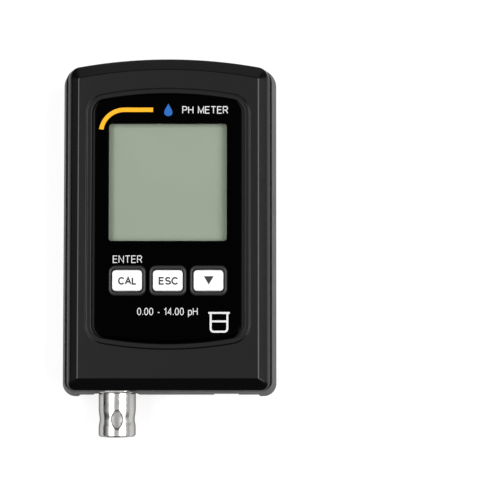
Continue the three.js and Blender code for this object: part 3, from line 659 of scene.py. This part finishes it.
def door_slot():
    """Cutters for the battery cover's opening and for the rails that hold its tongues."""
    half, start, top = DOOR_HALF + DOOR_GAP, DOOR_START - DOOR_GAP, SEAM.top + 2
    wide = half + DOOR_TONGUE
    return [block("door_slot", -half, half, start, top, -1, DOOR_SKIN),
            block("door_rail", -wide, wide, start, top, DOOR_SKIN - 0.15, DOOR_TOP_Z + 0.2)]


def lower_case():
    """The back shell: hollow, with screw bosses, the end wall's pads and the battery bay."""
    seam = SEAM_Z - HAIRLINE / 2
    shell = loft("lower_shell", back_sections())
    hollow = [ring_at(outline(SEAM, BACK_INSET + 0.6), BACK_WALL), ring_at(outline(SEAM, WALL), SEAM_Z + 1)]
    cut(shell, loft("hollow", hollow))
    x0, x1, y0, y1 = BAY
    bosses = [post("boss", x, y, 1, seam, BOSS_RADIUS) for x, y in CASE_SCREWS]
    join(shell, *bosses, *end_pads(2.0, seam), block("rail_pad", *RAIL_PAD),
         block("bay_wall", x0 - BAY_WALL, x1 + BAY_WALL, y0 - BAY_WALL, y1 + BAY_WALL, 1.5, BAY_WALL_TOP))
    cut(shell, block("bay", *BAY, -1, SEAM_Z), *door_slot(), *end_openings())
    well_radius, well_depth = SCREW_WELL
    for x, y in CASE_SCREWS:
        cut(shell, post("screw_well", x, y, -1, well_depth, well_radius),
            post("screw_hole", x, y, 3, SEAM_Z + 1, SCREW_BORE, 16))
    finish_piece(shell, "case", "grey_plastic", "lower_case")


def battery_cover():
    """Sliding cover trimmed to the case's outside, with finger grooves and an arrow."""
    top = SEAM.top + 2
    cover = block("cover", -DOOR_HALF, DOOR_HALF, DOOR_START, top, 0, DOOR_TOP_Z)
    wide = DOOR_HALF + DOOR_TONGUE
    join(cover, block("tongue", -wide, wide, DOOR_START, top, DOOR_SKIN, DOOR_TOP_Z))
    combine(cover, [loft("case_outside", back_sections())], "INTERSECT")
    first_groove, pitch = 53, 2.4
    for i in range(3):
        start = first_groove + pitch * i
        cut(cover, plate("groove", rounded_box(-7, 7, start, start + 1, 0.45), -1, 0.5))
    cut(cover, plate("arrow", [(-3, 45.5), (3, 45.5), (0, 49.5)], -1, 0.35))
    finish_piece(cover, "battery_cover", "grey_plastic", "battery_cover")


# ------------------------------------------------------------------ panel, display and keys


def front_panel():
    """The glossy panel, bevelled at its edge, with a window and a hole for each collar."""
    corners = [(0, PANEL_SEAT_Z + 0.05), (0, PANEL_EDGE_Z), (1, FACE_Z), (3, FACE_Z)]
    rings = []
    for t, z in softened(corners, 0.12, 3):
        rings.append(ring_at(outline(between(PANEL, PANEL_FACE, min(t, 1)), max(t - 1, 0)), z))
    overlay = loft("overlay", rings)
    cut(overlay, plate("window", rounded_box(*WINDOW, WINDOW_CORNER), *THROUGH))
    for x in KEYS.values():
        cut(overlay, plate("collar_hole", key_outline(x, 0.15 + COLLAR_MARGIN), *THROUGH))
    finish_piece(overlay, "case", "panel_black", "front_panel")


def sheet(name, x0, x1, y0, y1, z0, z1, corner, edge):
    """A flat sheet with its upper edge rounded."""
    corners = [(0, z0), (0, z1), (-1.5, z1)]
    rings = []
    for margin, z in softened(corners, edge, 4):
        points = rounded_box(x0 - margin, x1 + margin, y0 - margin, y1 + margin, max(corner + margin, 0.1))
        rings.append(ring_at(points, z))
    return loft(name, rings)


def display():
    """The window's pane, and the display as a reflector under glass."""
    x0, x1, y0, y1 = WINDOW
    gap = WINDOW_GAP
    pane = sheet("display_window", x0 + gap, x1 - gap, y0 + gap, y1 - gap, *PANE, WINDOW_CORNER, 0.08)
    finish_piece(pane, "case", "clear_window", "lcd_window")
    gx0, gx1, gy0, gy1, gz0, gz1 = node_box("lcd_glass")
    reflector_top = gz0 + 0.4
    reflector = sheet("display_reflector", gx0, gx1, gy0, gy1, gz0, reflector_top, 0.4, 0.1)
    finish_piece(reflector, "case", "lcd_grey", "lcd_glass")
    glass = sheet("display_glass", gx0, gx1, gy0, gy1, reflector_top + 0.05, gz1, 0.4, 0.1)
    finish_piece(glass, "case", "clear_window")


def keys():
    """Key caps with rounded edges, each with a flange that stops under the bezel."""
    low = node_box("key_esc")[4]
    corners = [(KEY_FLANGE, low), (KEY_FLANGE, KEY_FLANGE_TOP), (0, KEY_FLANGE_TOP), (0, KEY_TOP),
               (-2.5, KEY_TOP)]
    profile = softened(corners, 0.35, 6)
    for name, x in KEYS.items():
        cap = loft(f"cap_{name}", [ring_at(key_outline(x, margin), z) for margin, z in profile])
        finish_piece(cap, f"key_{name}", "white_plastic", f"key_{name}")


# ------------------------------------------------------------------ legends

INK_LIFT = 0.015    # printed marks stand this far proud
MARKS_Y = 44.5      # height of the drop and the stripe on the panel


def bow(cx, cy, rx, ry, start, end, steps=14):
    """Elliptical stretch of a pen stroke, angles in degrees."""
    angles = [math.radians(start + (end - start) * i / steps) for i in range(steps + 1)]
    return [(cx + rx * math.cos(a), cy + ry * math.sin(a)) for a in angles]


def loop(cx, cy, rx, ry):
    """Closed ellipse in two strokes."""
    return [bow(cx, cy, rx, ry, 90, 270), bow(cx, cy, rx, ry, 270, 450)]


BOWL = [(0, 1), (0.37, 1)] + bow(0.37, 0.74, 0.27, 0.26, 90, -90) + [(0, 0.48)]
# each letter's width and pen strokes; capitals are one unit high
LETTERS = {
    " ": (0.3, []),
    "-": (0.3, [[(0, 0.36), (0.3, 0.36)]]),
    ".": (0.1, [[(0.05, 0), (0.05, 0.12)]]),
    "0": (0.56, loop(0.28, 0.5, 0.28, 0.5)),
    "1": (0.3, [[(0, 0.74), (0.24, 1), (0.24, 0)]]),
    "4": (0.6, [[(0.46, 0), (0.46, 1), (0, 0.28), (0.6, 0.28)]]),
    "A": (0.8, [[(0, 0), (0.4, 1), (0.8, 0)], [(0.14, 0.34), (0.66, 0.34)]]),
    "C": (0.78, [bow(0.42, 0.5, 0.42, 0.5, 38, 322, 28)]),
    "E": (0.62, [[(0.62, 0), (0, 0), (0, 1), (0.6, 1)], [(0, 0.53), (0.56, 0.53)]]),
    "H": (0.68, [[(0, 0), (0, 1)], [(0.68, 0), (0.68, 1)], [(0, 0.53), (0.68, 0.53)]]),
    "L": (0.54, [[(0, 1), (0, 0), (0.54, 0)]]),
    "M": (0.82, [[(0, 0), (0, 1), (0.41, 0.08), (0.82, 1), (0.82, 0)]]),
    "N": (0.68, [[(0, 0), (0, 1), (0.68, 0), (0.68, 1)]]),
    "P": (0.64, [[(0, 0)] + BOWL]),
    "R": (0.7, [[(0, 0)] + BOWL, [(0.36, 0.48), (0.68, 0)]]),
    "S": (0.66, [bow(0.33, 0.75, 0.29, 0.25, 20, 270, 18) + bow(0.33, 0.25, 0.33, 0.25, 90, -160, 18)[1:]]),
    "T": (0.72, [[(0, 1), (0.72, 1)], [(0.36, 1), (0.36, 0)]]),
    "p": (0.54, [[(0, -0.28), (0, 0.7)]] + loop(0.27, 0.34, 0.27, 0.36)),
}
LETTER_GAP = 0.26


def ribbon(points, width):
    """Left and right edge of a pen stroke of even width, mitred at its corners."""
    points = [Vector(p) for p in points]
    left, right = [], []
    for i, here in enumerate(points):
        arriving = (here - points[max(i - 1, 0)]).normalized()
        leaving = (points[min(i + 1, len(points) - 1)] - here).normalized()
        along = (arriving + leaving).normalized()
        across = Vector((-along.y, along.x))
        reach = width / 2 / max(along.dot(leaving if i == 0 else arriving), 0.4)
        left.append(tuple(here + across * reach))
        right.append(tuple(here - across * reach))
    return left, right


def pen_strokes(name, strokes, width, z, body, ink):
    """Printed lines of even width, a little proud of the surface at height z."""
    vertices, faces = [], []
    for order, stroke in enumerate(strokes):
        left, right = ribbon(stroke, width)
        top = z + INK_LIFT * (1 + 0.12 * (order % 6))   # crossing strokes never share a plane
        for i, (a, b) in enumerate(zip(left, right)):
            start = len(vertices)
            vertices += [(*a, z - INK_LIFT), (*b, z - INK_LIFT), (*b, top), (*a, top)]
            if i == 0:
                faces.append((start, start + 1, start + 2, start + 3))
            else:
                last = start - 4
                faces += [(last + k, last + (k + 1) % 4, start + (k + 1) % 4, start + k) for k in range(4)]
        faces.append((start + 3, start + 2, start + 1, start))
    finish_piece(new_object(name, vertices, faces), body, None, material=ink)


def lettering(name, text, x0, x1, y0, y1, z, body, ink, weight=0.3):
    """A line of plain letters and figures that fills a box; weight is the pen's width."""
    strokes, pen = [], 0.0
    for letter in text:
        width, shapes = LETTERS[letter]
        strokes += [[(pen + x, y) for x, y in shape] for shape in shapes]
        pen += width + LETTER_GAP
    x0, x1, y0, y1 = x0 + weight / 2, x1 - weight / 2, y0 + weight / 2, y1 - weight / 2
    across, up = (x1 - x0) / (pen - LETTER_GAP), y1 - y0
    placed = [[(x0 + x * across, y0 + y * up) for x, y in stroke] for stroke in strokes]
    pen_strokes(name, placed, weight, z, body, ink)


def beaker_icon(name, x0, x1, y0, y1, z):
    """Plain outline of a beaker with a level line."""
    rim, foot = 0.9, 1.2
    cup = [(x0 + rim, y1)] + arc(x0 + rim + foot, y0 + foot, foot, math.pi, 1.5 * math.pi, 6)
    cup += arc(x1 - rim - foot, y0 + foot, foot, -math.pi / 2, 0, 6) + [(x1 - rim, y1)]
    level = y0 + (y1 - y0) * 0.55
    strokes = [[(x0, y1), (x1, y1)], cup, [(x0 + rim, level), (x1 - rim, level)]]
    pen_strokes(name, strokes, 0.75, z, "case", INK_WHITE)


def flat_mark(name, points, z, body, ink):
    """A printed area, a little proud of the surface at height z."""
    finish_piece(plate(name, points, z - INK_LIFT, z + INK_LIFT), body, None, material=ink)


def drop_points(x, y, width, height, steps=40):
    """Outline of a falling drop: round below, drawn to a point above."""
    points = []
    for i in range(steps):
        a = 2 * math.pi * i / steps
        points.append((x - width / 2 * math.sin(a) * math.sin(a / 2) ** 1.6, y + height / 2 * math.cos(a)))
    return points


def accent_stripe(name, z):
    """Plain stripe of even width that follows the panel's corner."""
    width, bend = 1.7, 9.0
    y, x_bend, x_end = MARKS_Y, -17.0, -5.9
    turn = math.pi * 0.95
    outer = arc(x_bend, y - bend, bend + width / 2, math.pi / 2, turn, 16)
    inner = arc(x_bend, y - bend, bend - width / 2, turn, math.pi / 2, 16)
    flat_mark(name, [(x_end, y - width / 2), (x_end, y + width / 2)] + outer + inner, z, "case", INK_ORANGE)


def legends():
    """Lettering and marks on the panel, and the legends on the keys."""
    lettering("legend_title", "PH METER", 5.4, 23.2, 43.0, 45.9, FACE_Z, "case", INK_WHITE, 0.34)
    lettering("legend_enter", "ENTER", -21.2, -9.8, -14.8, -11.9, FACE_Z, "case", INK_WHITE)
    lettering("legend_range", "0.00 - 14.00 pH", -11.8, 11.5, -34.9, -32.0, FACE_Z, "case", INK_WHITE)
    lettering("legend_cal", "CAL", -19.1, -11.9, -23.2, -20.2, KEY_TOP, "key_cal", INK_GREY, 0.6)
    lettering("legend_esc", "ESC", -3.5, 4.1, -23.2, -20.2, KEY_TOP, "key_esc", INK_GREY, 0.6)
    beaker_icon("mark_beaker", 15.6, 23.8, -41.2, -34.0, FACE_Z)
    flat_mark("legend_down", [(13.85, -19.9), (15.75, -23.15), (17.65, -19.9)], KEY_TOP, "key_down", INK_GREY)
    flat_mark("mark_drop", drop_points(0, MARKS_Y, 4.6, 4.9), FACE_Z, "case", INK_BLUE)
    accent_stripe("mark_stripe", FACE_Z)


# ------------------------------------------------------------------ connector


def window_cutter():
    """Cutter for two pointed windows on opposite sides, where the bayonet studs come to rest."""
    width, length, y, steps = 4.9, 8.1, -75.35, 32
    sharpness = 1.45    # above one, the ends are more pointed than an ellipse's
    reach = 9
    points = []
    for i in range(steps):
        angle = 2 * math.pi * i / steps
        across = math.copysign(abs(math.cos(angle)) ** sharpness, math.cos(angle))
        points.append((width / 2 * across, length / 2 * math.sin(angle)))
    turn = math.radians(5)
    rings = []
    for z in (-reach, reach):
        rings.append([(AXIS_X + px * math.cos(turn) + z * math.sin(turn), y + py,
                       SEAM_Z - px * math.sin(turn) + z * math.cos(turn)) for px, py in points])
    return loft("windows", rings)


def coupling_ring():
    """The turning ring with its waist and windows, and the metal liner seen through them."""
    rear, front, lip_front = -65.15, -82.3, -68.2
    radius, waist, bore, lip = 7.25, 6.85, 6.0, 4.95
    corners = [(bore, front), (radius - 0.5, front), (radius, front + 0.5), (radius, -78.3), (waist, -76.4),
               (waist, -75), (radius, -72.4), (radius, rear - 0.05), (radius - 0.05, rear), (lip, rear),
               (lip, lip_front), (bore, lip_front)]
    ring = turned("ring", softened(corners, 0.9, 8, closed=True), 160)
    cut(ring, window_cutter())
    finish_piece(ring, "coupling_ring", "chrome", "coupling_ring")
    liner = [(5.4, -78.7), (6.05, -78.7), (6.05, -72.1), (5.4, -72.1)]
    track = turned("stud_track", softened(liner, 0.1, 3, True), 128)
    # the liner's darker nickel is painted shade
    finish_piece(track, "coupling_ring", "plated_metal", material=LINER_PAINTED_SHADE)


def connector_body():
    """Sleeve, shoulder, neck, flange and hollow shank in one turning; the flange is flat on top."""
    sleeve = [(3.5, -81.4), (4.1, -81.4), (4.1, -71.3)]
    shoulder = [(5.6, -71.3), (5.6, -70.3), (4.65, -70.3), (4.65, -65.1)]
    flange = [(7.25, -65.1), (7.3, -64.75), (9.05, -64.65), (9.2, -64.5), (9.2, -64)]
    shank = [(4.8, -64), (4.8, -52), (2.2, -52), (2.2, -62), (3.5, -62)]
    body = turned("sleeve", softened(sleeve + shoulder + flange + shank, 0.06, 2, closed=True), 128)
    cut(body, block("flange_flat", AXIS_X - 10, AXIS_X + 10, -66, -63, PARTING_Z - 0.1, 30))
    finish_piece(body, "case", "plated_metal", "connector_body")


def connector_inside():
    """Insulator and pin inside the sleeve."""
    corners = [(0.95, -75), (3.3, -75), (3.3, -62.2), (0.95, -62.2)]
    insulator = turned("insulator", softened(corners, 0.3, 3, True), 64)
    finish_piece(insulator, "case", "white_insulator", "connector_insulator")
    tip, tail = -80.4, -50.5
    side = softened([(0.25, tip), (0.65, -79.3), (0.65, tail)], 0.5, 5)
    pin = turned("pin", [(0.001, tip)] + side + [(0.001, tail)], 32)
    finish_piece(pin, "case", "gold_contact", "connector_pin")


def washers():
    """The slip washer that the ring runs on and the wave washer that springs it."""
    y0, y1 = node_box("slip_washer")[2:4]
    radius = 5.7
    corners = [(WASHER_BORE, y0), (radius, y0), (radius, y1), (WASHER_BORE, y1)]
    slip = turned("slip", softened(corners, 0.1, 3, True), 64)
    finish_piece(slip, "ring_carrier", "steel", "slip_washer")
    y0, y1 = node_box("wave_washer")[2:4]
    radius, half, waves, steps = 5.65, 0.1, 3, 96
    rings = []
    for i in range(steps):
        angle = 2 * math.pi * i / steps
        middle = (y0 + y1) / 2 + WAVE * math.sin(waves * angle)
        section = [(WASHER_BORE, middle - half), (radius, middle - half), (radius, middle + half),
                   (WASHER_BORE, middle + half)]
        rings.append([(AXIS_X + r * math.cos(angle), y, SEAM_Z + r * math.sin(angle)) for r, y in section])
    finish_piece(loft("wave", rings, closed=True), "case", "steel", "wave_washer")


# ------------------------------------------------------------------ pieces inside and behind


def key_domes():
    """Rubber domes that the keys flatten."""
    for name, x in KEYS.items():
        corners = [(3.2, 20), (3.9, 20), (3.85, 20.3), (2.7, 21.55), (2.3, 21.8), (0.05, 21.8), (0.05, 21.25),
                   (2.0, 21.25), (3.1, 20.3)]
        dome = spun(f"dome_{name}", softened(corners, 0.15, 3, closed=True), x, KEY_ROW_Y, closed=True)
        finish_piece(dome, "case", "rubber_grey", f"key_dome_{name}")
        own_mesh(dome)


def screw(name, x, y, head, seat, tip, head_radius, radius):
    """Pan-head screw pointing up, with a cross recess and a fine thread."""
    profile = [(head_radius * 0.6, head), (head_radius * 0.9, head + 0.12), (head_radius, head + 0.5)]
    plain, pitch, core = 0.6, 0.55, radius * 0.78
    profile += [(head_radius, seat), (radius, seat), (radius, seat + plain)]
    turns = int((tip - seat - 1.4) / pitch)
    for i in range(turns):
        z = seat + plain + pitch * i
        profile += [(core, z + pitch * 0.3), (core, z + pitch * 0.6), (radius, z + pitch * 0.95)]
    profile += [(radius * 0.5, tip)]
    made = spun(name, profile, x, y)
    long, wide = head_radius * 0.58, head_radius * 0.13
    cut(made, block("slot", x - long, x + long, y - wide, y + wide, head - 1, head + 0.8),
        block("slot", x - wide, x + wide, y - long, y + long, head - 1, head + 0.8))
    return made


def screws():
    """The case and board screws, each as large as its CAD node."""
    for node in frame["nodes"]:
        if not node.startswith(("case_screw", "board_screw")):
            continue
        x0, x1, y0, y1, z0, z1 = node_box(node)
        x, y = (x0 + x1) / 2, (y0 + y1) / 2
        head_height, radius = SCREW_SIZES[node.split("_")[0]]
        made = screw("fine_" + node, x, y, z0, z0 + head_height, z1, (x1 - x0) / 2, radius)
        finish_piece(made, "case", "steel", node)


def cells():
    """Dry cells: a steel can with its nub, in a plain wrap; neighbours point opposite ways."""
    wrap = [(4.6, 0.05), (5.05, 0.05), (5.2, 0.3), (5.2, 42.9), (5.0, 43.2), (4.1, 43.2), (4.1, 43.05),
            (4.93, 42.85), (4.93, 0.35), (4.6, 0.2)]
    can = [(0.01, 0.15), (4.5, 0.15), (4.88, 0.5), (4.88, 42.8), (4.1, 42.95), (2.2, 42.95), (1.9, 43.1),
           (1.9, 44.1), (1.7, 44.3), (0.01, 44.3)]
    for i in range(4):
        node = f"cell_{i + 1}"
        x0, x1, y0, y1, z0, z1 = node_box(node)
        x, z = (x0 + x1) / 2, (z0 + z1) / 2
        foot, way = (y0, 1) if i % 2 == 0 else (y1, -1)
        wrap_side = [(r, foot + way * v) for r, v in softened(wrap, 0.1, 2, True)]
        can_side = [(r, foot + way * v) for r, v in can]
        finish_piece(turned(f"wrap_{node}", wrap_side, 64, x, z), "case", "cell_wrap", node)
        finish_piece(turned(f"can_{node}", can_side, 64, x, z), "case", "steel")


def socket_contacts():
    """Gold strips on the power socket's tongue."""
    x0, x1, y0, y1 = node_box("power_socket")[:4]
    pitch = 1.15
    for i in range(4):
        x = (x0 + x1) / 2 + (i - 1.5) * pitch
        strip = block(f"socket_strip_{i + 1}", x - 0.3, x + 0.3, y0 + 1.6, y1 - 3.2, 15.69, 15.78)
        finish_piece(strip, "case", "gold_contact")


# ------------------------------------------------------------------ carried-over nodes


def dress_nodes():
    """Every CAD node gets its slot's material, broken edges and clean shading."""
    slots = {part["node"]: part["material_slot"] for part in frame["record"]["subparts"]}
    for name, node in frame["nodes"].items():
        node.data.materials.clear()
        node.data.materials.append(MATERIALS[slots[name]])
        edges = node.modifiers.new("broken edges", "BEVEL")
        edges.width = 0.12 * MM
        edges.segments = 2
        edges.limit_method = "ANGLE"
        edges.angle_limit = math.radians(40)
        smooth(node, 30)


# ------------------------------------------------------------------ studio


def camera():
    """Long lens over the object's right side, tipped a little towards the top end."""
    data = bpy.data.cameras.new("camera")
    data.sensor_width = 36
    data.lens = 97.35
    eye = bpy.data.objects.new("camera", data)
    bpy.context.scene.collection.objects.link(eye)
    eye.location = shift(31.6, -33.65, 546)
    target = shift(31.6, -9.8, FACE_Z)
    eye.rotation_euler = (target - eye.location).to_track_quat("-Z", "Y").to_euler()
    bpy.context.scene.camera = eye


def softbox(name, tilt, distance, width, height, luminance):
    """A rectangular light over the object, tilted towards +x by so many degrees."""
    data = bpy.data.lights.new(name, "AREA")
    data.shape = "RECTANGLE"
    data.size, data.size_y = width, height
    data.energy = luminance * math.pi * width * height
    lamp = bpy.data.objects.new(name, data)
    bpy.context.scene.collection.objects.link(lamp)
    angle = math.radians(tilt)
    lamp.location = (distance * math.sin(angle), 0, distance * math.cos(angle))
    lamp.rotation_euler = (0, angle, 0)


def sky():
    """Dim room: bright overhead, darker to both ends, paler far beyond the top, dark low on the left."""
    world = bpy.data.worlds.new("studio")
    world.use_nodes = True
    tree = world.node_tree
    where = tree.nodes.new("ShaderNodeTexCoord")
    axes = tree.nodes.new("ShaderNodeSeparateXYZ")
    tree.links.new(where.outputs["Generated"], axes.inputs["Vector"])

    def fade(axis, start, end, low, high):
        ramp = tree.nodes.new("ShaderNodeMapRange")
        ramp.interpolation_type = "SMOOTHSTEP"
        for key, value in {"From Min": start, "From Max": end, "To Min": low, "To Max": high}.items():
            ramp.inputs[key].default_value = value
        tree.links.new(axes.outputs[axis], ramp.inputs["Value"])
        return ramp.outputs["Result"]

    def mixed(operation, first, second):
        node = tree.nodes.new("ShaderNodeMath")
        node.operation = operation
        tree.links.new(first, node.inputs[0])
        tree.links.new(second, node.inputs[1])
        return node.outputs["Value"]

    lengthwise = mixed("MULTIPLY", fade("Y", -0.45, -0.15, 0.02, 0.68), fade("Y", 0.26, 0.4, 1.0, 0.1))
    lengthwise = mixed("ADD", lengthwise, fade("Y", 0.72, 0.86, 0.0, 0.34))
    low_left = mixed("MAXIMUM", fade("Z", 0.12, 0.66, 0.0, 1.0), fade("X", -0.5, -0.2, 0.0, 1.0))
    strength = mixed("MULTIPLY", lengthwise, low_left)
    tree.links.new(strength, tree.nodes["Background"].inputs["Strength"])
    tree.nodes["Background"].inputs["Color"].default_value = (1, 1, 1, 1)
    bpy.context.scene.world = world


def light_table():
    """Wide floor with a glow of its own, so that the shadows on it stay faint."""
    bpy.ops.mesh.primitive_plane_add(size=30)
    floor = bpy.context.object
    floor.name = "floor"
    white = moulded("floor white", (0.26, 0.26, 0.26), 0.8, mottle=0.0, Specular_IOR_Level=0.1,
                    Emission_Color=(1.0, 1.0, 1.0), Emission_Strength=0.76)
    floor.data.materials.append(white)


def studio():
    """Lights, surroundings and floor."""
    softbox("right_box", tilt=38.5, distance=0.9, width=0.56, height=0.9, luminance=5.2)
    softbox("left_box", tilt=-31, distance=0.9, width=0.42, height=0.9, luminance=5.2)
    sky()
    light_table()
    bpy.context.scene.view_settings.view_transform = "Standard"


dress_nodes()
camera()
studio()
front_bezel()
upper_case()
lower_case()
battery_cover()
front_panel()
display()
keys()
legends()
coupling_ring()
connector_body()
connector_inside()
washers()
key_domes()
screws()
cells()
socket_contacts()
